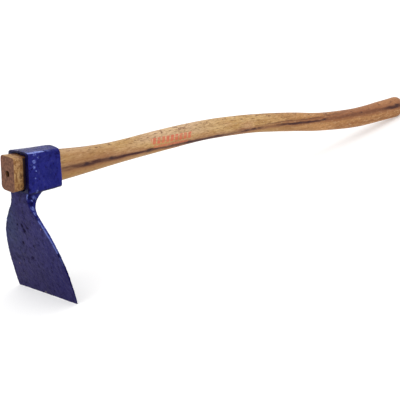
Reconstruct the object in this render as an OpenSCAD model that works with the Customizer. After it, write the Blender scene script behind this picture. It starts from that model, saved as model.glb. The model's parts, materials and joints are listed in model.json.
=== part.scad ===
// Grub hoe: a forged steel head on a curved wood handle.
// The handle goes through the head's eye grip first. The head then seats on the flared foot,
// which stands proud of the eye's front, so it needs no wedge, pin or screw.
//
// The shapes are drawn with the origin on the middle line of the eye: +X runs back along the eye
// to the grip, +Z is up and the blade hangs down. stand() sets the finished tool down on its
// cutting edge and the underside of its grip, with the origin below the middle of it.

/* [Eye] */
// Length of the eye along the handle
eye_length = 59; // [56:0.5:60]
// Width of the eye at its front mouth
eye_front_width = 52.5; // [50:0.5:56]
// Height of the eye at its front mouth, at the sides
eye_front_height = 61; // [59.5:0.5:64]
// Width of the eye at its rear mouth
eye_rear_width = 46.5; // [44:0.5:50]
// Height of the eye at its rear mouth, at the sides
eye_rear_height = 55.5; // [52:0.5:58]
// Rise of the eye's top along its middle, at the front mouth
eye_front_crown = 1; // [0.5:0.5:3]
// Rise of the eye's top along its middle, at the rear mouth
eye_rear_crown = 4; // [2:0.5:8]
// Radius of the eye's long edges
eye_corner = 4.5; // [3:0.5:6]
// Radius round both mouths
mouth_round = 1.5; // [1:0.5:3]
// Lean of the front mouth, in degrees: its lower side is further forward
mouth_lean = 2.5; // [0:0.5:4]
// Gap between the eye and the handle's foot all round
seat_gap = 0.3; // [0.2:0.05:0.5]
// Gap over the foot at the front mouth
mouth_gap = 1.7; // [0.5:0.1:2.2]
// Flare of the bore all round at the front mouth
mouth_flare = 0.8; // [0.2:0.1:1.2]

/* [Blade] */
// Depth of the cutting edge below the eye's middle line
blade_depth = 189.5; // [170:0.5:205]
// Width of the blade at the cutting edge
edge_width = 154; // [130:1:165]
// Width of the neck at its narrowest
neck_width = 43; // [38:0.5:46]
// Thickness of the blade's root, below the neck
root_thickness = 6.4; // [5:0.2:8]
// Thickness of the blade where the ground bevel starts
bevel_thickness = 2; // [1.6:0.1:3]
// Thickness left at the cutting edge
edge_thickness = 1; // [0.6:0.1:1.4]
// Lean of the blade back towards the grip, in degrees
blade_lean = 15.3; // [12:0.1:18]

/* [Handle] */
// Length of the foot that stands proud of the eye
foot_reach = 18; // [12:0.5:24]
// Height of the foot at its end
foot_height = 51.5; // [50:0.5:52]
// Width of the foot at its end
foot_width = 35.5; // [33:0.5:36.5]
// Roll of the foot about the handle's length, in degrees
foot_roll = 4; // [0:0.5:5]
// Distance along the handle from the origin to the grip's end
grip_end = 815; // [800:0.5:840]
// Height of the grip at its end
grip_height = 38.5; // [34:0.5:42]
// Diameter of the lathe hole in the foot's end
hole_diameter = 9; // [6:0.5:12]
// Depth of the lathe hole
hole_depth = 20; // [12:1:30]

/* [Hidden] */

arc_steps = 4;          // flats round a quarter turn
curve_steps = 8;        // flats along each stretch of a curve
crown_steps = 6;        // flats across the eye's crowned top
hole_flats = 48;
ring_pitch = 16;        // spacing of the handle's rings
foot_chamfer = 0.8;
grip_round = 16;        // length over which the grip's end rounds off
grip_inset = 12;        // how far its rounding draws in
grip_turns = [18, 36, 54, 68, 80];  // angles round that rounding
flare_length = 4;
eye_rear = 28;
eye_front = eye_rear - eye_length;
foot_end = eye_front - foot_reach;
over = 1;               // how far a cut runs past a face
bore_over = 3;          // and past the leaning front mouth

// Handle stations, foot to grip: place along the eye's axis, rise of the centreline, height,
// width, and how far the section has gone from a rounded oblong (0) to an oval (1)
stations = [
    [foot_end, 1.2, foot_height, foot_width, 0],
    [eye_rear, 0.2, 45.6, 31, 0.1],
    [90, 0.4, 38.9, 28.5, 0.5],
    [140, 2.4, 34.6, 27, 0.75],
    [240, 8.6, 34.2, 26, 0.85],
    [330, 11.7, 32.6, 25.5, 0.85],
    [430, 7.8, 31.6, 25.5, 0.85],
    [520, -1.7, 33, 26, 0.85],
    [600, -12.2, 32.4, 26, 0.85],
    [690, -16.9, 35, 27, 0.85],
    [760, -13.8, 36.6, 28, 0.85],
    [grip_end, -10.5, grip_height, 28.5, 0.85],
];
foot_top_corner = [4, 3];
foot_bottom_corner = [11, 5];

// Blade from the side: the front face drops from the eye, bends once and runs straight to the edge
straight_run = 74.4;    // height of the blade's straight stretch
edge_front = [2.4, -blade_depth];
bend_end = edge_front + straight_run * [-tan(blade_lean), 1];
neck_front = [-33.5, -40];
bend_middle = [-30.5, -71];
// The back face starts a third of the way along the eye's underside and sweeps into the blade
gusset_start = [-2, -26];
gusset_middle = [-22, -41];
gusset_end = [-31.6 + root_thickness, -58];
back_middle = [gusset_end.x + 2.2, -82];
back_end = bend_end + [4, 0];
bevel_height = 8;
blade_top = -21;        // inside the eye's lower wall
blade_block = 200;      // more than the blade's width and its depth
blade_root = [eye_front + 1, -23];
root_middle = [neck_front.x - 0.5, -29];

// Half of the blade's outline from the front: depth, half width
blade_flare = [
    [-20, 22.5],
    [-37, neck_width / 2],
    [-48, 25],
    [-60, 35.6],
    [-78, 50.4],
    [-96, 61.2],
    [-120, 70.2],
    [-150, 76],
    [-blade_depth, edge_width / 2],
];

// --- Curves ---

function mix(a, b, t) = a + (b - a) * t;

// Quadratic curve from a to c, pulled towards b, without its last point
function bend(a, b, c) = [
    for (i = [0 : curve_steps - 1])
        let (t = i / curve_steps) mix(mix(a, b, t), mix(b, c, t), t)
];

// Slope of column k of a table at row i, from the rows on either side
function slope(table, i, k) =
    let (lo = max(i - 1, 0), hi = min(i + 1, len(table) - 1))
    (table[hi][k] - table[lo][k]) / (table[hi][0] - table[lo][0]);

// Value of column k between rows i and i + 1, on a smooth curve through every row
function smooth(table, i, k, t) =
    let (
        span = table[i + 1][0] - table[i][0],
        a = table[i][k],
        b = table[i + 1][k],
        ma = slope(table, i, k) * span,
        mb = slope(table, i + 1, k) * span
    )
    a + t * (ma + t * (3 * (b - a) - 2 * ma - mb + t * (2 * (a - b) + ma + mb)));

// Row of the table at x, with every column on its smooth curve
function row_at(table, x) =
    let (
        below = [for (i = [0 : len(table) - 2]) if (x >= table[i][0]) i],
        i = len(below) > 0 ? below[len(below) - 1] : 0,
        t = (x - table[i][0]) / (table[i + 1][0] - table[i][0])
    )
    [x, for (k = [1 : len(table[0]) - 1]) smooth(table, i, k, t)];

// --- Sections across the handle, as [y, z] points ---

// Quarter of an oval, from the angle start
function quarter(centre, radii, start) = [
    for (i = [0 : arc_steps])
        let (a = start + 90 * i / arc_steps)
            centre + [radii.x * cos(a), radii.y * sin(a)]
];

// Oblong with its own corner radii above and below, and spare points along its top
function oblong(w, h, top, bottom, top_points) =
    let (y = w / 2, z = h / 2)
    concat(
        quarter([y - top.x, z - top.y], top, 0),
        [for (i = [1 : 1 : top_points]) [(y - top.x) * (1 - 2 * i / (top_points + 1)), z]],
        quarter([top.x - y, z - top.y], top, 90),
        quarter([bottom.x - y, bottom.y - z], bottom, 180),
        quarter([y - bottom.x, bottom.y - z], bottom, 270)
    );

// Ring of points at x, from a section that is moved up by rise
function ring(x, rise, section) = [for (p = section) [x, p.x, p.y + rise]];

function rolled(p, a) = [p.x * cos(a) - p.y * sin(a), p.x * sin(a) + p.y * cos(a)];

// Handle section at x, shrunk all round by inset; it is rolled only where it is an oblong
function handle_ring(x, inset) =
    let (
        s = row_at(stations, x),
        h = s[2] - 2 * inset,
        w = s[3] - 2 * inset,
        half = [w / 2, h / 2],
        top = mix(foot_top_corner, half, s[4]),
        bottom = mix(foot_bottom_corner, half, s[4])
    )
    ring(x, s[1], [for (p = oblong(w, h, top, bottom, 0)) rolled(p, foot_roll * (1 - s[4]))]);

// Distance that a round edge of radius r pulls in, at a distance d from its face
function round_in(r, d) = d >= r ? 0 : r - sqrt(r * r - (r - d) * (r - d));

// --- Rings of each lofted shape ---

handle_steps = round((grip_end - grip_round - foot_end - foot_chamfer) / ring_pitch);
handle_rings = concat(
    [handle_ring(foot_end, foot_chamfer)],
    [
        for (i = [0 : handle_steps])
            handle_ring(mix(foot_end + foot_chamfer, grip_end - grip_round, i / handle_steps), 0)
    ],
    [
        for (a = grip_turns)
            handle_ring(grip_end - grip_round * (1 - sin(a)), (1 - cos(a)) * grip_inset)
    ]
);

// Eye's outside at a distance d behind its front mouth
function eye_ring(d) =
    let (
        t = d / eye_length,
        inset = round_in(mouth_round, min(d, eye_length - d)),
        w = mix(eye_front_width, eye_rear_width, t) - 2 * inset,
        h = mix(eye_front_height, eye_rear_height, t) - 2 * inset,
        crown = mix(eye_front_crown, eye_rear_crown, t),
        corner = eye_corner * [1, 1],
        lean = tan(mouth_lean) * (1 - t)
    )
    [
        for (p = oblong(w, h, corner, corner, crown_steps - 1))
            let (share = 2 * p.x / w, z = p.y + max(p.y, 0) / (h / 2) * crown * (1 - share * share))
                [eye_front + d + lean * z, p.x, z]
    ];
mouth_steps = [0, 0.13, 0.5, 1];    // rings round each mouth, as shares of its radius
eye_rings = [
    for (s = mouth_steps) eye_ring(s * mouth_round),
    eye_ring(eye_length / 2),
    for (i = [len(mouth_steps) - 1 : -1 : 0]) eye_ring(eye_length - mouth_steps[i] * mouth_round),
];

// Inside of the eye: the foot's own taper, with the seat gap all round, a flare at the front
// mouth and more room over the top
function bore_ring(x) =
    let (
        front = max(eye_rear - x, 0) / eye_length,
        flare = mouth_flare * max(eye_front + flare_length - x, 0) / flare_length,
        extra = max(mouth_gap - seat_gap - mouth_flare, 0) * front
    )
    [
        for (p = handle_ring(x, -seat_gap - flare))
            p.z > 0 ? p + [0, 0, extra] : p
    ];
bore_steps = 6;         // stretches of the bore behind its flare
bore_rings = concat(
    [bore_ring(eye_front - bore_over)],
    [
        for (i = [0 : bore_steps])
            bore_ring(mix(eye_front + flare_length, eye_rear + over, i / bore_steps))
    ]
);

// --- Blade outlines ---

blade_side = concat(
    [[blade_root.x + 3, blade_top]],
    bend(blade_root, root_middle, neck_front),
    bend(neck_front, bend_middle, bend_end),
    [bend_end, edge_front, edge_front + [edge_thickness, 0]],
    [edge_front + bevel_height * [-tan(blade_lean), 1] + [bevel_thickness, 0]],
    bend(back_end, back_middle, gusset_end),
    bend(gusset_end, gusset_middle, gusset_start),
    [gusset_start, [gusset_start.x, blade_top]]
);
flare_rows = [for (r = blade_flare) [-r[0], r[1]]];
blade_half = [
    for (i = [0 : len(flare_rows) - 2], s = [0 : curve_steps / 2 - 1])
        let (t = 2 * s / curve_steps, z = mix(flare_rows[i][0], flare_rows[i + 1][0], t))
            [smooth(flare_rows, i, 1, t), -z],
    [edge_width / 2, -blade_depth],
];
blade_front = concat(
    blade_half,
    [for (i = [len(blade_half) - 1 : -1 : 0]) [-blade_half[i].x, blade_half[i].y]]
);

// --- Rest pose ---

handle_points = [for (r = handle_rings, p = r) p];
edge_point = [edge_front.x + edge_thickness, 0, edge_front.y];

function tipped(p, a) = [p.x * cos(a) + p.z * sin(a), p.y, p.z * cos(a) - p.x * sin(a)];
function lowest(points, a) = min([for (p = points) tipped(p, a).z]);

// Angle between lo and hi at which the grip comes down level with the cutting edge
function rest_angle(lo, hi, rounds) =
    let (a = (lo + hi) / 2)
    rounds == 0 ? a
        : lowest(handle_points, a) > tipped(edge_point, a).z ? rest_angle(a, hi, rounds - 1)
        : rest_angle(lo, a, rounds - 1);
rest_tilt = rest_angle(6, 18, 30);
rest_points = [for (p = concat(handle_points, [edge_point])) tipped(p, rest_tilt)];
rest_x = [for (p = rest_points) p.x];
rest_floor = min([for (p = rest_points) p.z]);
rest_middle = (min(rest_x) + max(rest_x)) / 2;

// --- Solids ---

// Closed skin over rings that all have the same number of points
module loft(rings) {
    n = len(rings[0]);
    last = (len(rings) - 1) * n;
    sides = [
        for (r = [0 : len(rings) - 2], i = [0 : n - 1])
            let (a = r * n + i, b = r * n + (i + 1) % n)
                each [[a, a + n, b], [b, a + n, b + n]]
    ];
    front = [for (i = [0 : n - 1]) i];
    back = [for (i = [n - 1 : -1 : 0]) last + i];
    polyhedron(points = [for (r = rings, p = r) p], faces = concat(sides, [front, back]));
}

module stand() {
    translate([-rest_middle, 0, -rest_floor]) rotate([0, rest_tilt, 0]) children();
}

module blade() {
    intersection() {
        rotate([90, 0, 0]) linear_extrude(blade_block, center = true) polygon(blade_side);
        rotate([90, 0, 90]) linear_extrude(blade_block, center = true) polygon(blade_front);
    }
}

module hoe_head() {
    color([0.13, 0.13, 0.42]) stand() difference() {
        union() {
            loft(eye_rings);
            blade();
        }
        loft(bore_rings);
    }
}

module handle() {
    color([0.72, 0.55, 0.33]) stand() difference() {
        loft(handle_rings);
        translate([foot_end - over, 0, stations[0][1]]) rotate([0, 90, 0])
            cylinder(h = hole_depth + over, d = hole_diameter, $fn = hole_flats);
    }
}

hoe_head();
handle();
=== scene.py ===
import json
import math

import bmesh
import bpy
import numpy as np
from mathutils import Matrix, Vector, noise
from mathutils.bvhtree import BVHTree
from mathutils.kdtree import KDTree


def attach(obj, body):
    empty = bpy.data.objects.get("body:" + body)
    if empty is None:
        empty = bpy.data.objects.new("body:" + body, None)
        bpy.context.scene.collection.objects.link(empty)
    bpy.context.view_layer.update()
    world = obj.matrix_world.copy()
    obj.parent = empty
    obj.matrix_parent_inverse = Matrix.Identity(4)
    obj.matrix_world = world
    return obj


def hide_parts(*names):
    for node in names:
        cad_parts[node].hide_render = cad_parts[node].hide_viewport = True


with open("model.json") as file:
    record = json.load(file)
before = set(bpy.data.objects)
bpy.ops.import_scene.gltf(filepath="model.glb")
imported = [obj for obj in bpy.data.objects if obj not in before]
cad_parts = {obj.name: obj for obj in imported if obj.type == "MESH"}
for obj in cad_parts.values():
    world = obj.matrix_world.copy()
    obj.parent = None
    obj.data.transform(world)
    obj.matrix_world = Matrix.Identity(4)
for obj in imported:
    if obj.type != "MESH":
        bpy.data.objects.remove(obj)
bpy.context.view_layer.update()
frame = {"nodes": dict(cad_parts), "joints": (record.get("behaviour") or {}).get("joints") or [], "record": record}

MM = 0.001

# --- Tool frame ---
# Pieces are made, and coloured, with the middle of the foot's end as the origin, +X running up
# the handle and +Z up off the eye, so that textures follow the grain.

slide = frame["joints"][0]
hole = next(m for m in frame["record"]["mounts"] if m["name"] == "lathe_hole")
along = -Vector(slide["axis"]).normalized()
across = Vector((0, 1, 0))
TOOL = Matrix((along, across, along.cross(across))).transposed().to_4x4()
TOOL.translation = Vector(hole["pos_m"])
HOLE_RADIUS = hole["dims"]["r_mm"] * MM
HOLE_DEPTH = hole["dims"]["length_mm"] * MM
WELD = 0.01 * MM  # points of a CAD node nearer than this are one point


def cad_copy(node):
    """The CAD node's mesh in the tool frame, welded."""
    copy = bmesh.new()
    copy.from_mesh(frame["nodes"][node].data)
    copy.transform(TOOL.inverted())
    bmesh.ops.remove_doubles(copy, verts=copy.verts, dist=WELD)
    return copy


def add_piece(name, mesh, node, body, material):
    """Add the finished mesh as the visible piece that stands for a CAD node."""
    mesh.materials.clear()
    mesh.materials.append(material)
    mesh.polygons.foreach_set("use_smooth", [True] * len(mesh.polygons))
    mesh.transform(TOOL)
    piece = bpy.data.objects.new(name, mesh)
    bpy.context.scene.collection.objects.link(piece)
    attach(piece, body)
    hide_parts(node)


def points_of(mesh):
    co = np.zeros(len(mesh.vertices) * 3)
    mesh.vertices.foreach_get("co", co)
    return co.reshape(-1, 3)


def set_points(mesh, co):
    mesh.vertices.foreach_set("co", co.astype(np.float32).ravel())
    mesh.update()


def normals_of(mesh):
    n = np.zeros(len(mesh.vertices) * 3)
    mesh.vertex_normals.foreach_get("vector", n)
    return n.reshape(-1, 3)


def lumps(co, size, seed):
    """Smooth noise of about -1 to 1 at each point, with bumps of that size."""
    shift = Vector((seed * 7.3, seed * 3.1, seed * 5.7))
    return np.array([noise.fractal(Vector(p) / size + shift, 0.9, 2.1, 2) for p in co])


def smoothstep(x, low, high):
    """0 at low, 1 at high, smooth between; low may be above high."""
    t = np.clip((x - low) / (high - low), 0, 1)
    return t * t * (3 - 2 * t)


# --- Node shorthand ---


class Shader:
    """A material and short calls that add nodes to it."""

    def __init__(self, name):
        self.material = bpy.data.materials.new(name)
        self.material.use_nodes = True
        self.tree = self.material.node_tree
        self.tree.nodes.clear()
        place = self.add("ShaderNodeTexCoord", {}).outputs
        back = TOOL.inverted()
        turn = {"Rotation": back.to_euler()}
        self.position = self.add(
            "ShaderNodeMapping", {"Vector": place["Object"], "Location": back.translation, **turn}
        ).outputs[0]
        self.normal = self.add("ShaderNodeMapping", {"Vector": place["Normal"], **turn}).outputs[0]

    def add(self, kind, inputs, **settings):
        made = self.tree.nodes.new(kind)
        for key, value in settings.items():
            setattr(made, key, value)
        for key, value in inputs.items():
            if isinstance(value, bpy.types.NodeSocket):
                self.tree.links.new(value, made.inputs[key])
            else:
                made.inputs[key].default_value = value
        return made

    def math(self, operation, *values):
        """The operation on one value, or from left to right on several."""
        total = values[0]
        for value in values[1:] or [0]:
            total = self.add(
                "ShaderNodeMath", {0: total, 1: value}, operation=operation
            ).outputs[0]
        return total

    def times(self, *values):
        return self.math("MULTIPLY", *values)

    def plus(self, *values):
        return self.math("ADD", *values)

    def less(self, *values):
        return self.math("SUBTRACT", *values)

    def largest(self, *values):
        return self.math("MAXIMUM", *values)

    def without(self, value, share=1):
        """1 where value is 0, and less by the share where it is 1."""
        return self.less(1, self.times(share, value) if share != 1 else value)

    def repeat(self, value, pitch):
        """0 to 1 over each pitch."""
        return self.math("FRACT", self.math("DIVIDE", value, pitch))

    def split(self, vector):
        return self.add("ShaderNodeSeparateXYZ", {0: vector}).outputs

    def scaled(self, vector, scale, shift=(0, 0, 0)):
        made = self.add("ShaderNodeMapping", {"Vector": vector, "Scale": scale, "Location": shift})
        return made.outputs[0]

    def noise(self, vector, scale, detail=3, rough=0.55, warp=0):
        made = self.add(
            "ShaderNodeTexNoise",
            {
                "Vector": vector,
                "Scale": scale,
                "Detail": detail,
                "Roughness": rough,
                "Distortion": warp,
            },
        )
        return made.outputs[0]

    def grain(self, scale, shift=(0, 0, 0), **settings):
        """Noise with its own scale along each axis."""
        return self.noise(self.scaled(self.position, scale, shift), 1, **settings)

    def step(self, value, low, high):
        """0 at low, 1 at high, smooth between; low may be above high."""
        made = self.add(
            "ShaderNodeMapRange",
            {"Value": value, "From Min": low, "From Max": high},
            interpolation_type="SMOOTHSTEP",
        )
        return made.outputs[0]

    def band(self, value, low, full_low, full_high, high):
        """1 between the two inner limits and 0 outside the outer ones."""
        return self.times(self.step(value, low, full_low), self.step(value, high, full_high))

    def mix(self, share, a, b):
        """Colour a where share is 0 and b where it is 1."""
        made = self.add("ShaderNodeMix", {0: share}, data_type="RGBA")
        for socket, colour in ((made.inputs[6], a), (made.inputs[7], b)):
            if isinstance(colour, bpy.types.NodeSocket):
                self.tree.links.new(colour, socket)
            else:
                socket.default_value = (*colour, 1)
        return made.outputs[2]

    def tint(self, base, colour, *shares):
        """Base with the colour over it, as strong as the product of the shares."""
        share = self.times(*shares) if len(shares) > 1 else shares[0]
        return self.mix(share, base, colour)

    def curve(self, value, points):
        """Smooth curve through points whose coordinates lie from 0 to 1."""
        made = self.add("ShaderNodeFloatCurve", {"Value": value})
        line = made.mapping.curves[0].points
        for i, point in enumerate(points):
            if i < 2:
                line[i].location = point
            else:
                line.new(*point)
        made.mapping.update()
        return made.outputs[0]

    def near(self, vector, point, radius):
        """1 at a point and 0 beyond a radius from it."""
        away = self.add("ShaderNodeVectorMath", {0: vector, 1: point}, operation="DISTANCE")
        return self.step(away.outputs["Value"], radius, 0.3 * radius)

    def bump(self, height, distance, strength):
        made = self.add(
            "ShaderNodeBump", {"Height": height, "Distance": distance, "Strength": strength}
        )
        return made.outputs[0]

    def finish(self, **inputs):
        named = {key.replace("_", " "): value for key, value in inputs.items()}
        surface = self.add("ShaderNodeBsdfPrincipled", named)
        self.add("ShaderNodeOutputMaterial", {"Surface": surface.outputs[0]})
        return self.material


# --- Forged head ---

VOXEL = 1.3 * MM
PLATE_STRETCH = 2.2  # the remesh is finer along X, across the thin blade
SHARP_TURN = math.radians(38)  # CAD edges that turn by more than this get a painted highlight
HIGHLIGHT_REACH = 1.6 * MM
SMOOTH, SWELL = 0.5, -0.51  # one smoothing step and the step that undoes its shrinking
SMOOTH_PASSES = 8
FILL_PASSES = 9
EYE_FRONT = 18 * MM
EYE_REAR = 77 * MM
EYE_UNDER = -30 * MM
BLADE_FOOT = -190 * MM
BORE_MIDDLE = -1.2 * MM
BORE_HALF_WIDTH = 22.5 * MM
BORE_HALF_HEIGHT = 28 * MM
# Hammer pits in the blade's front face: across, up and radius, in mm
PITS = [
    (8.5, -81.5, 3.2),
    (6, -89, 4),
    (-4.5, -83, 3),
    (21, -81, 2.2),
    (20, -110.5, 2.6),
    (-7, -112, 2.2),
    (7.5, -133, 2.8),
    (34, -141, 2.2),
]
# Chips in the blade's paint, down to primer and rust: across, up and radius in mm, and colour
CHIPS = [
    (-42, -79, 1.7, (0.23, 0.10, 0.10)),
    (53, -150, 1.5, (0.24, 0.12, 0.10)),
    (3, -188, 2.4, (0.22, 0.18, 0.12)),
]
# Painted highlight spots on the eye's and the neck's sides: along, up and radius, in mm
HIGHLIGHT_SPOTS = [
    (31, 26, 3),
    (37, 21.5, 2),
    (29.5, 16, 3.2),
    (29, 8, 2.6),
    (25, 12, 1.6),
    (32, 2, 1.4),
    (30, -8, 1.5),
    (31, -27.5, 2.8),
    (27, -37.5, 4.2),
    (24, -39.5, 2.6),
    (20.5, -50.5, 3),
]
# Hollows of the neck's sides, painted darkest as shade: along, up and radius, in mm
SHADED_HOLLOWS = [(19, -33.5, 4), (20.5, -44.5, 3.6)]


def inside_bore(co):
    """True for points on the walls that the handle's foot fills."""
    beside, above = np.abs(co[:, 1]), np.abs(co[:, 2] - BORE_MIDDLE)
    return (beside < BORE_HALF_WIDTH) & (above < BORE_HALF_HEIGHT)


def remeshed(cad):
    """An even voxel mesh of the CAD head, and its points with the stretch taken out."""
    cad.transform(Matrix.Diagonal((PLATE_STRETCH, 1, 1, 1)))
    rough = bpy.data.meshes.new("rough_head")
    cad.to_mesh(rough)
    holder = bpy.data.objects.new("holder", rough)
    bpy.context.scene.collection.objects.link(holder)
    remesh = holder.modifiers.new("voxels", "REMESH")
    remesh.mode = "VOXEL"
    remesh.voxel_size = VOXEL
    graph = bpy.context.evaluated_depsgraph_get()
    mesh = bpy.data.meshes.new_from_object(holder.evaluated_get(graph))
    bpy.data.objects.remove(holder)
    return mesh, points_of(mesh) / (PLATE_STRETCH, 1, 1)


def sharp_edge_points(cad):
    """Points 1 mm apart along the CAD head's sharp outside edges."""
    points = []
    for edge in cad.edges:
        if edge.is_manifold and edge.calc_face_angle_signed() > SHARP_TURN:
            a, b = (v.co for v in edge.verts)
            steps = max(1, round((b - a).length / MM))
            points += [a.lerp(b, i / steps) for i in range(steps)]
    tree = KDTree(len(points))
    for i, point in enumerate(points):
        tree.insert(point, i)
    tree.balance()
    return tree


def forged_head_mesh():
    cad = cad_copy("hoe_head")
    sharp = sharp_edge_points(cad)
    mesh, co = remeshed(cad)
    cad.free()

    edges = np.zeros(len(mesh.edges) * 2, int)
    mesh.edges.foreach_get("vertices", edges)
    a, b = edges.reshape(-1, 2).T
    count = np.bincount(np.concatenate((a, b)), minlength=len(co))[:, None]

    def relax(co, share):
        """Move each point by a share of the way to the middle of its neighbours."""
        total = np.zeros_like(co)
        np.add.at(total, a, co[b])
        np.add.at(total, b, co[a])
        return co + share * (total / count - co)

    for _ in range(SMOOTH_PASSES):
        co = relax(relax(co, SMOOTH), SWELL)
    # Sharp inside corners round the neck fill in, and outside corners stay
    up = co[:, 2]
    neck = smoothstep(up, -60 * MM, -50 * MM) * smoothstep(up, -22 * MM, -26 * MM)
    neck *= ~inside_bore(co)
    for _ in range(FILL_PASSES):
        set_points(mesh, co)
        moved = relax(co, SMOOTH) - co
        filling = (moved * normals_of(mesh)).sum(1) > 0
        co = co + moved * (neck * filling)[:, None]
    co = relax(relax(co, SMOOTH), SWELL)
    set_points(mesh, co)

    # Hammer marks: lumps all over, and dents and pits in the blade's front, in mm
    normal = normals_of(mesh)
    lumpy = 0.34 * lumps(co, 15 * MM, 1) + 0.20 * lumps(co, 5 * MM, 2)
    front = (normal[:, 0] < -0.5) & (co[:, 2] < EYE_UNDER)
    upper = smoothstep(co[:, 2], BLADE_FOOT, -110 * MM)
    dents = np.minimum(0, lumps(co, 4 * MM, 3) + 0.30) * front * (0.35 + 0.65 * upper)
    for across_mm, up_mm, radius in PITS:
        away = np.hypot(co[:, 1] / MM - across_mm, co[:, 2] / MM - up_mm)
        dents -= 0.9 * front * np.exp(-((away / radius) ** 2))
    height = np.where(inside_bore(co), -0.1, lumpy + 0.5 * dents) * MM
    set_points(mesh, co + normal * height[:, None])

    # How near each point is to a sharp edge, for the painted edge highlights
    edge_closeness = mesh.attributes.new("edge", "FLOAT", "POINT")
    edge_closeness.data.foreach_set("value", [math.exp(-sharp.find(p)[2] / HIGHLIGHT_REACH) for p in co])
    return mesh


def blue_paint():
    s = Shader("blue_paint")
    x, y, z = s.split(s.position)
    nx, ny, nz = s.split(s.normal)
    side_on = s.scaled(s.position, (1, 0, 1))
    face_on = s.scaled(s.position, (0, 1, 1))

    # Parts of the head
    blade = s.step(z, EYE_UNDER + 2 * MM, EYE_UNDER - 1 * MM)
    front = s.times(blade, s.step(nx, -0.45, -0.8))
    sides = s.times(blade, s.without(front))
    neck = s.times(s.step(z, -62 * MM, -50 * MM), sides)
    shaded_low_edge = s.times(sides, s.step(z, -80 * MM, -120 * MM))
    # mouth: the eye's front face and its rounding, which get painted shade
    mouth = s.times(s.without(blade), s.step(nx, -0.3, -0.65))
    # Downward faces under the eye, which get painted shade
    shade_under_eye = s.times(s.step(nz, -0.15, -0.6), s.step(z, -60 * MM, -45 * MM))
    top = s.times(s.step(nz, 0.80, 0.97), s.step(y, -16 * MM, -4 * MM))

    # Clouds, mottling and specks of the paint
    blotch = s.noise(s.position, 55, 5, 0.62)
    mottle = s.noise(s.position, 150, 5, 0.75)
    speck = s.noise(s.position, 700, 3, 0.6)
    cloud = s.step(blotch, 0.3, 0.7)
    dull = s.step(mottle, 0.48, 0.36)
    bright = s.times(s.step(mottle, 0.54, 0.66), s.plus(0.30, s.times(0.15, front)))

    deep = s.mix(cloud, (0.008, 0.009, 0.112), (0.015, 0.016, 0.168))
    # The blade's front gets a greyer copy of the blue: a painted sheen
    front_sheen = s.mix(cloud, (0.0130, 0.0085, 0.056), (0.0260, 0.0200, 0.098))
    far_top = s.times(s.step(y, 5 * MM, 45 * MM), s.step(z, -155 * MM, -75 * MM))
    front_sheen = s.tint(front_sheen, (0.0200, 0.0280, 0.078), 0.8, far_top)
    front_sheen = s.tint(front_sheen, (0.0130, 0.0095, 0.085), 0.8, s.step(y, 10 * MM, -55 * MM))
    paint = s.mix(front, deep, front_sheen)
    # Painted shade on the eye's front face round the stub
    paint = s.tint(paint, (0.002, 0.001, 0.012), 0.85, mouth)
    # Painted shade under the eye
    paint = s.tint(paint, (0.002, 0.001, 0.030), 0.8, shade_under_eye)
    # Painted light: the eye's top face lighter and greyer, a painted reflection of the light above
    paint = s.tint(paint, (0.055, 0.062, 0.150), 0.14, top)
    paint = s.tint(paint, (0.003, 0.001, 0.024), 0.85, dull)
    paint = s.tint(paint, (0.052, 0.052, 0.180), bright)
    paint = s.tint(paint, (0.008, 0.003, 0.046), 0.45, s.step(z, -90 * MM, -180 * MM))
    # Painted shade on the lower sides of the blade
    paint = s.tint(paint, (0.003, 0.002, 0.034), 0.92, shaded_low_edge)
    # Painted shade on the neck's sides and in its hollows
    paint = s.tint(paint, (0.003, 0.002, 0.040), 0.3, neck)
    for along_mm, up_mm, radius in SHADED_HOLLOWS:
        spot = s.near(side_on, (along_mm * MM, 0, up_mm * MM), 1.4 * radius * MM)
        paint = s.tint(paint, (0.002, 0.001, 0.030), 0.75, spot, sides)

    # Painted shade in and round the pits, and the chips
    spots = [
        s.near(face_on, (0, across_mm * MM, up_mm * MM), 1.7 * radius * MM)
        for across_mm, up_mm, radius in PITS
    ]
    ragged = s.step(s.noise(s.position, 330, 3, 0.7), 0.34, 0.52)
    # Painted shade in the pits
    pit_shade = s.times(s.largest(*spots), ragged, front)
    paint = s.tint(paint, (0.004, 0.002, 0.014), 0.95, pit_shade)
    for across_mm, up_mm, radius, colour in CHIPS:
        chip = s.near(face_on, (0, across_mm * MM, up_mm * MM), radius * MM)
        paint = s.tint(paint, colour, 0.8, chip, blade)

    # Painted highlights in light blue: the blade's edges, the eye's long top edges, the spots and a glint
    broken = s.noise(s.position, 150, 4, 0.65)
    edge = s.add("ShaderNodeAttribute", {}, attribute_name="edge").outputs["Fac"]
    edge = s.times(
        s.step(edge, 0.25, 0.65),
        s.step(broken, 0.40, 0.52),
        s.step(z, -140 * MM, -100 * MM),
        s.largest(s.step(z, -62 * MM, -70 * MM), s.step(z, -40 * MM, -34 * MM)),
        s.plus(0.22, s.times(0.5, blade)),
    )
    lip = s.times(
        s.band(nz, 0.62, 0.78, 0.96, 0.995),
        s.step(s.math("ABSOLUTE", y), 17 * MM, 20 * MM),
        s.step(x, EYE_FRONT + 44 * MM, EYE_FRONT + 24 * MM),
        s.step(broken, 0.42, 0.52),
    )
    highlight_breakup = s.times(
        s.step(s.noise(s.position, 430, 3, 0.75), 0.40, 0.56), s.step(mottle, 0.38, 0.50)
    )
    spots = [
        s.near(side_on, (along_mm * MM, 0, up_mm * MM), 1.25 * radius * MM)
        for along_mm, up_mm, radius in HIGHLIGHT_SPOTS
    ]
    painted_highlight = s.times(s.largest(lip, s.times(s.largest(*spots), highlight_breakup)), s.without(front))
    painted_highlight = s.times(s.largest(painted_highlight, edge), s.without(mouth))
    glint = s.step(s.noise(s.position, 260, 3, 0.7), 0.50, 0.60)
    # Painted highlights: lighter blue where gloss would catch the light
    paint = s.tint(paint, (0.18, 0.23, 0.60), 0.88, painted_highlight)
    paint = s.tint(paint, (0.34, 0.40, 0.78), 0.7, lip, glint)

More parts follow.
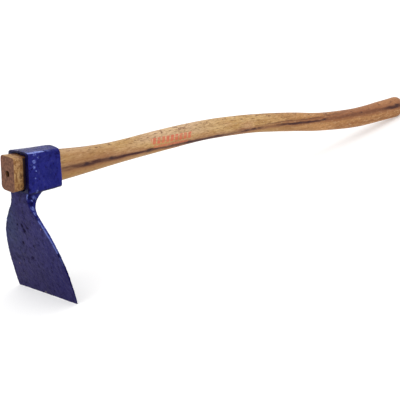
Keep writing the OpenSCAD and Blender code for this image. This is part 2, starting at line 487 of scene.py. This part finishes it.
    skin = s.plus(s.times(2.6, mottle), s.times(0.5, speck))
    return s.finish(
        Base_Color=paint,
        Roughness=s.plus(0.22, s.times(0.26, front), s.times(0.14, blotch)),
        Specular_IOR_Level=s.times(
            0.10, s.without(pit_shade, 0.95), s.without(dull, 0.6), s.without(top, 0.6)
        ),
        Specular_Tint=(0.38, 0.44, 1, 1),
        Normal=s.bump(skin, 0.34 * MM, 0.9),
    )


# --- Wood handle ---

TURN = 96  # points round a section
RING_PITCH = 3 * MM
FOOT_ROUND = 1.2 * MM
FOOT_RINGS = (0, 0.06, 0.25, 0.6, 1)  # places of the rings over the foot's round
END_RINGS = (0.0, 0.12, 0.3, 0.5, 0.7, 0.88)  # from the hole's mouth to the foot's edge
HOLE_RINGS = 8
HOLE_LIP = 0.7 * MM  # the hole's mouth is rounded over this depth
HOLE_FLARE = 0.4 * MM
DOME_LENGTH = 16 * MM
DOME_DROP = 12 * MM
DOME_TURNS = np.radians(np.arange(9, 90, 9))
TIP_RISE = 0.3 * MM
SMOOTH_SECTIONS = 3
OUTSIDE = 80 * MM  # rays start this far from the middle, clear of the handle
WEIGHTS = np.array([1, 4, 6, 4, 1]) / 16
angles = np.arange(TURN) * 2 * math.pi / TURN
spokes = np.stack((np.zeros(TURN), np.cos(angles), np.sin(angles)), 1)


def cad_sections():
    """Places along the handle, and at each the middle's height and the reach along each spoke."""
    cad = cad_copy("handle")
    skin = BVHTree.FromBMesh(cad)
    grip_end = max(v.co.x for v in cad.verts)
    cad.free()

    def reach(x, rise, spoke):
        start = Vector((x, 0, rise)) + Vector(spoke) * OUTSIDE
        return OUTSIDE - skin.ray_cast(start, -Vector(spoke))[3]

    def section(x):
        up = Vector((0, 0, 1))
        rise = (reach(x, 0, up) - reach(x, 0, -up)) / 2
        return np.array([rise] + [reach(x, rise, s) for s in spokes])

    start, end = 2 * MM, grip_end - DOME_LENGTH
    places = np.linspace(start, end, round((end - start) / RING_PITCH))
    rows = np.array([section(x) for x in places])
    for _ in range(SMOOTH_SECTIONS):
        padded = np.vstack((2 * rows[0] - rows[2:0:-1], rows, 2 * rows[-1] - rows[-2:-4:-1]))
        rows = sum(w * padded[i : i + len(rows)] for i, w in enumerate(WEIGHTS))
    rows[:, 1:] = sum(w * np.roll(rows[:, 1:], i - 2, 1) for i, w in enumerate(WEIGHTS))
    return places, rows


def handle_rings():
    """Rings from the hole's bottom, out over the foot's end and up the shaft to the grip's tip.

    A ring is its place along the handle, its middle's height and its reach along each spoke.
    """
    places, rows = cad_sections()
    first, last = rows[0], rows[-1]
    foot = []
    for d in np.array(FOOT_RINGS) * FOOT_ROUND:
        inset = FOOT_ROUND - math.sqrt(FOOT_ROUND**2 - (FOOT_ROUND - d) ** 2)
        foot.append((d, first[0], first[1:] - inset))
    shaft = [(x, row[0], row[1:]) for x, row in zip(places, rows)]
    dome = []
    for turn in DOME_TURNS:
        inset = DOME_DROP * (1 - math.cos(turn))
        dome.append((places[-1] + DOME_LENGTH * math.sin(turn), last[0], last[1:] - inset))

    bored = np.full(TURN, HOLE_RADIUS)
    rings = [(x, 0, bored) for x in np.linspace(HOLE_DEPTH, HOLE_LIP, HOLE_RINGS)]
    for share in END_RINGS:
        wide = (1 - share) * (HOLE_RADIUS + HOLE_FLARE) + share * foot[0][2]
        rings.append((0, share * foot[0][1], wide))
    rings += foot + shaft + dome
    tip = dome[-1]
    for share in (0.75, 0.5, 0.25):
        rings.append((tip[0] + TIP_RISE * (1 - share), tip[1], tip[2] * share))
    return rings


def wood_handle_mesh():
    rings = handle_rings()
    co = np.concatenate([spokes * wide[:, None] + (x, 0, rise) for x, rise, wide in rings])
    tip_x, tip_rise, _ = rings[-4]
    base = len(co)
    co = np.concatenate((co, [(HOLE_DEPTH, 0, 0), (tip_x + TIP_RISE, 0, tip_rise)]))
    turn = np.arange(TURN)
    after = (turn + 1) % TURN
    faces = []
    for r in range(len(rings) - 1):
        low, high = r * TURN, (r + 1) * TURN
        faces += np.stack((low + turn, low + after, high + after, high + turn), 1).tolist()
    top = base - TURN
    faces += [(base, int(after[i]), int(i)) for i in turn]
    faces += [(base + 1, int(top + i), int(top + after[i])) for i in turn]
    mesh = bpy.data.meshes.new("wood_handle")
    mesh.from_pydata(co.tolist(), [], faces)
    mesh.update()

    # The worked surface: slow waves on the shaft and small lumps on the stub, in mm
    normal = normals_of(mesh)
    stretched = co * (0.15, 1, 1)
    wavy = 0.22 * lumps(stretched, 9 * MM, 4) + 0.08 * lumps(stretched, 3 * MM, 5)
    free = smoothstep(co[:, 0], EYE_REAR + 4 * MM, EYE_REAR + 30 * MM)
    stub = smoothstep(co[:, 0], EYE_FRONT - 2 * MM, EYE_FRONT - 8 * MM)
    stub *= np.hypot(co[:, 1], co[:, 2]) > HOLE_RADIUS + MM
    height = (wavy * free + 0.15 * stub * lumps(co, 6 * MM, 6)) * MM
    set_points(mesh, co + normal * height[:, None])
    return mesh


# Dark knots and wide places along the streak: along, up and radius, in mm
KNOTS = [
    (128, -4.0, 3.2),
    (176, -2.4, 3.6),
    (249, -2.8, 4.6),
    (330, -2.6, 3.4),
    (582, -4.6, 2.6),
    (643, -7.2, 2.6),
    (741, -8.1, 2.4),
    (838, -6.5, 4.0),
]
KNOT_SQUEEZE = Vector((0.35, 0.3, 1))  # knots are long ovals that lie along the grain
NEAR_SIDE = -13 * MM
# The streak's height: the length as a share of STREAK_LENGTH, and the height as a share of
# STREAK_HEIGHT above or below the middle, plus a half
STREAK = [
    (0.0, 0.38),
    (0.11, 0.42),
    (0.27, 0.45),
    (0.40, 0.44),
    (0.545, 0.475),
    (0.60, 0.463),
    (0.69, 0.385),
    (0.80, 0.345),
    (0.90, 0.335),
    (0.98, 0.385),
]
STREAK_LENGTH = 0.88
STREAK_HEIGHT = 0.06
PRINT_START = 0.2525
PRINT_SLANT = -0.25
BAR_PITCH = 9 * MM
DASH_PITCH = 3.6 * MM
GRIP_TIP = (0.842, 0.862)


def printed_mark(s, x, z):
    """Where ink lies: a row of slanted bars over a row of dashes, with no lettering."""
    slant = s.plus(s.less(x, PRINT_START), s.times(z, PRINT_SLANT))
    bars = s.times(
        s.band(s.repeat(slant, BAR_PITCH), 0.06, 0.16, 0.76, 0.86),
        s.band(z, 4.8 * MM, 5.6 * MM, 14.6 * MM, 15.4 * MM),
        s.band(x, 0.252, 0.253, 0.336, 0.337),
    )
    dashes = s.times(
        0.8,
        s.band(s.repeat(slant, DASH_PITCH), 0.05, 0.18, 0.78, 0.90),
        s.band(z, -0.8 * MM, -0.2 * MM, 3.0 * MM, 3.6 * MM),
        s.band(x, 0.257, 0.259, 0.326, 0.330),
    )
    return s.largest(bars, dashes)


def handle_wood():
    s = Shader("handle_wood")
    x, y, z = s.split(s.position)
    nx, ny, nz = s.split(s.normal)

    # Long grain: wide colour bands, flames, fibres, short dark pores and grit
    bands = s.grain((9, 85, 85), detail=5, rough=0.65, warp=0.5)
    flame = s.grain((45, 190, 190), (2, 1, 6), detail=4, rough=0.7, warp=0.3)
    fibres = s.grain((30, 520, 520), detail=4, rough=0.65, warp=0.3)
    pores = s.step(s.grain((110, 900, 900), detail=2, rough=0.5), 0.41, 0.34)
    patches = s.grain((14, 34, 34), (3, 5, 1), detail=2, rough=0.5)
    grit = s.grain((150, 400, 400), (7, 1, 5), rough=0.7)

    dark_band = s.step(bands, 0.36, 0.66)
    gold = s.mix(dark_band, (0.59, 0.380, 0.165), (0.43, 0.240, 0.080))
    pink = s.mix(dark_band, (0.58, 0.360, 0.185), (0.42, 0.220, 0.092))
    brown = s.mix(dark_band, (0.48, 0.235, 0.088), (0.30, 0.125, 0.042))
    wood = s.mix(s.step(patches, 0.42, 0.62), gold, pink)
    wander = s.times(0.14, s.less(bands, 0.5))
    wood = s.mix(s.step(s.plus(x, wander), 0.44, 0.62), wood, brown)
    pale = s.times(s.band(x, 0.19, 0.26, 0.34, 0.42), s.step(z, 6 * MM, 15 * MM))
    wood = s.tint(wood, (0.66, 0.490, 0.330), 0.38, pale)
    wood = s.tint(wood, (0.33, 0.155, 0.050), 0.45, s.step(flame, 0.52, 0.72))
    wood = s.tint(wood, (0.74, 0.520, 0.300), 0.35, s.step(flame, 0.46, 0.28))
    wood = s.tint(wood, (0.24, 0.115, 0.045), 0.40, s.step(fibres, 0.5, 0.68))
    wood = s.tint(wood, (0.13, 0.060, 0.025), 0.50, pores)
    wood = s.tint(wood, (0.20, 0.090, 0.030), 0.56, s.step(grit, 0.53, 0.66))
    wood = s.tint(wood, (0.78, 0.570, 0.330), 0.32, s.step(grit, 0.45, 0.33))
    wood = s.tint(wood, (0.33, 0.175, 0.065), 0.38, s.step(x, 0.27, 0.10))

    # Heartwood streak along the blank: how far above it each point lies
    line = s.curve(s.math("DIVIDE", x, STREAK_LENGTH), STREAK)
    rise = s.times(s.less(line, 0.5), STREAK_HEIGHT)
    wavy = s.grain((34, 8, 8), detail=4)
    waver = s.plus(s.times(s.less(wavy, 0.5), 4 * MM), s.times(s.less(flame, 0.5), 4.5 * MM))
    tilt = s.times(0.25, s.less(y, NEAR_SIDE))
    off = s.less(z, rise, s.plus(waver, tilt))
    below = s.times(s.step(off, 0.5 * MM, -4 * MM), s.step(x, 0.66, 0.50))
    above = s.times(s.step(off, -1 * MM, 4 * MM), s.step(x, 0.60, 0.74))
    wood = s.tint(wood, (0.30, 0.155, 0.048), 0.5, below)
    wood = s.tint(wood, (0.34, 0.140, 0.066), 0.5, above)

    # Its width, its strength and a second, thinner line above it
    spread = s.plus(
        1,
        s.times(0.7, s.step(x, 0.60, 0.85)),
        s.times(0.95, s.step(x, 0.24, 0.15)),
        s.times(0.6, s.band(x, 0.27, 0.31, 0.44, 0.50)),
    )
    away = s.math("DIVIDE", s.math("ABSOLUTE", off), spread)
    second = s.times(
        s.step(s.math("ABSOLUTE", s.less(off, 5 * MM)), 1.6 * MM, 0.4 * MM),
        s.band(x, 0.47, 0.53, 0.62, 0.75),
        s.step(flame, 0.40, 0.55),
    )
    dense = s.step(s.grain((24, 110, 110), (9, 2, 4)), 0.30, 0.56)
    seen = s.step(x, 60 * MM, 95 * MM)
    broken = s.largest(s.band(x, 0.38, 0.43, 0.50, 0.55), s.times(0.35, s.step(x, 0.22, 0.16)))
    broken = s.times(broken, s.step(flame, 0.58, 0.46))
    faint = s.largest(s.band(x, 0.60, 0.68, 0.78, 0.83), broken)
    depth = s.times(seen, s.plus(0.42, s.times(0.55, dense)), s.without(faint, 0.6))
    wood = s.tint(wood, (0.22, 0.075, 0.036), 0.6, s.step(away, 7 * MM, 1 * MM), seen)
    wood = s.tint(wood, (0.045, 0.012, 0.012), s.step(away, 3 * MM, 0.7 * MM), depth)
    wood = s.tint(wood, (0.10, 0.032, 0.020), 0.7, second)
    ragged = s.step(s.grain((120, 420, 420), (1, 8, 3), rough=0.7), 0.34, 0.52)
    squeezed = s.scaled(s.position, KNOT_SQUEEZE)
    for along_mm, up_mm, radius in KNOTS:
        middle = KNOT_SQUEEZE * Vector((along_mm * MM, NEAR_SIDE, up_mm * MM))
        knot = s.near(squeezed, middle, radius * MM)
        wood = s.tint(wood, (0.030, 0.012, 0.016), 0.8, knot, ragged)

    # End grain, the lathe hole and the grip's tip
    face = s.times(s.step(nx, -0.6, -0.85), s.step(x, 4 * MM, 2 * MM))
    rings = s.step(s.noise(s.position, 240, 4, 0.65), 0.35, 0.65)
    wood = s.mix(face, wood, s.mix(rings, (0.195, 0.088, 0.054), (0.090, 0.040, 0.026)))
    from_axis = s.math("SQRT", s.plus(s.times(y, y), s.times(z, z)))
    hole_shade = s.step(from_axis, HOLE_RADIUS + 0.8 * MM, HOLE_RADIUS)
    past_hole = HOLE_DEPTH + 2 * MM
    # Painted shade: the lathe hole near-black
    wood = s.tint(wood, (0.02, 0.008, 0.007), hole_shade, s.step(x, past_hole + MM, past_hole))
    wood = s.tint(wood, (0.16, 0.075, 0.045), 0.45, s.step(x, *GRIP_TIP))

    # The foot: marks across the grain on the part in view, painted shade and shadow by the mouth, and paint there
    foot = s.times(s.step(x, EYE_REAR, EYE_REAR - MM), s.without(face))
    in_view = s.times(foot, s.step(x, EYE_FRONT + 12 * MM, EYE_FRONT + 2 * MM))
    crosswise = s.grain((420, 90, 210), (4, 4, 4), rough=0.6)
    blots = s.step(s.grain((240, 200, 230), (4, 4, 4), detail=2), 0.50, 0.60)
    shade_by_mouth = s.step(x, EYE_FRONT - 8 * MM, EYE_FRONT - MM)
    smears = s.times(s.step(crosswise, 0.52, 0.60), s.step(x, EYE_FRONT, EYE_FRONT + 2 * MM))
    gap_shadow = s.times(s.step(x, EYE_FRONT - 3.2 * MM, EYE_FRONT - 2 * MM), s.step(nz, 0.8, 0.5))
    wood = s.tint(wood, (0.24, 0.110, 0.040), 0.2, foot)
    wood = s.tint(wood, (0.16, 0.062, 0.016), 0.8, s.step(crosswise, 0.48, 0.62), in_view)
    # Painted shade on the stub as it nears the mouth
    wood = s.tint(wood, (0.14, 0.056, 0.015), 0.8, shade_by_mouth, in_view)
    wood = s.tint(wood, (0.060, 0.022, 0.006), 0.8, blots, s.step(x, 7 * MM, 13 * MM), in_view)
    wood = s.tint(wood, (0.030, 0.030, 0.130), 0.35, smears, foot)
    # Painted shadow in the gap at the mouth, on all but upward faces
    wood = s.tint(wood, (0.006, 0.003, 0.012), 0.92, gap_shadow, in_view)

    # Nicks along the upper side, and the printed mark
    nicks = s.step(s.grain((95, 210, 210), (8, 2, 9), detail=2), 0.58, 0.64)
    wood = s.tint(wood, (0.14, 0.055, 0.030), 0.8, nicks, s.step(nz, 0.2, 0.8))
    faded = s.step(s.grain((130, 260, 260), detail=4, rough=0.65), 0.32, 0.60)
    ink = s.times(printed_mark(s, x, z), s.plus(0.44, s.times(0.44, faded)))
    wood = s.tint(wood, (0.58, 0.120, 0.066), ink, s.step(ny, -0.2, -0.45))

    return s.finish(
        Base_Color=wood,
        Roughness=s.plus(0.46, s.times(0.2, fibres), s.times(0.25, face)),
        Specular_IOR_Level=0.16,
        Normal=s.bump(s.plus(fibres, s.times(-0.8, pores)), 0.10 * MM, 0.6),
    )


add_piece("forged_head", forged_head_mesh(), "hoe_head", "head", blue_paint())
add_piece("wood_handle", wood_handle_mesh(), "handle", "handle", handle_wood())

# --- Floor, light and camera ---

FLOOR_HALF = 12.0
FLOOR_CELLS = 8


def floor_mesh():
    side = FLOOR_CELLS + 1
    lines = np.linspace(-FLOOR_HALF, FLOOR_HALF, side)
    corners = [r * side + c for r in range(FLOOR_CELLS) for c in range(FLOOR_CELLS)]
    mesh = bpy.data.meshes.new("floor")
    mesh.from_pydata(
        [(x, y, 0) for y in lines for x in lines],
        [],
        [(i, i + 1, i + side + 1, i + side) for i in corners],
    )
    pale = Shader("pale_floor").finish(
        Base_Color=(0.74, 0.74, 0.74, 1),
        Roughness=0.9,
        Specular_IOR_Level=0.1,
        Emission_Color=(1, 1, 1, 1),
        Emission_Strength=0.3,
    )
    mesh.materials.append(pale)
    return mesh


floor = bpy.data.objects.new("floor", floor_mesh())
bpy.context.scene.collection.objects.link(floor)

world = bpy.data.worlds.new("studio")
bpy.context.scene.world = world
world.use_nodes = True
sky = world.node_tree.nodes["Background"].inputs
sky["Color"].default_value = (1, 1, 1, 1)
sky["Strength"].default_value = 1.0


def soft_light(name, place, aim, size, watts):
    """A square area light at place that faces aim."""
    data = bpy.data.lights.new(name, "AREA")
    data.size = size
    data.energy = watts
    light = bpy.data.objects.new(name, data)
    light.location = place
    light.rotation_mode = "QUATERNION"
    light.rotation_quaternion = (Vector(aim) - Vector(place)).to_track_quat("-Z", "Y")
    light.visible_camera = False
    bpy.context.scene.collection.objects.link(light)


HEAD_PLACE = (-0.2, 0, 0.1)
soft_light("top", (0.1, 0.5, 3.4), (0, 0, 0), 4.5, 26)
soft_light("left", (-2.6, 0.4, 1.9), HEAD_PLACE, 1.8, 8)
soft_light("right", (2.2, -0.3, 2.0), HEAD_PLACE, 1.0, 9)

AZIMUTH, ELEVATION, ROLL = math.radians(-37.92), math.radians(19.81), math.radians(-11.78)
DISTANCE = 1.938
AIM = TOOL.translation + Vector((0.3440, 0.0177, -0.1791))
lens = bpy.data.cameras.new("camera")
lens.lens = 105.4
lens.sensor_width = 36
lens.clip_start, lens.clip_end = 0.05, 60
camera = bpy.data.objects.new("camera", lens)
back = Vector(
    (
        math.sin(AZIMUTH) * math.cos(ELEVATION),
        -math.cos(AZIMUTH) * math.cos(ELEVATION),
        math.sin(ELEVATION),
    )
)
camera.location = AIM + back * DISTANCE
level = Vector((math.cos(AZIMUTH), math.sin(AZIMUTH), 0))
facing = Matrix((level, back.cross(level), back)).transposed()
camera.rotation_euler = (facing @ Matrix.Rotation(ROLL, 3, "Z")).to_euler()
bpy.context.scene.collection.objects.link(camera)
bpy.context.scene.camera = camera
bpy.context.scene.view_settings.view_transform = "Standard"
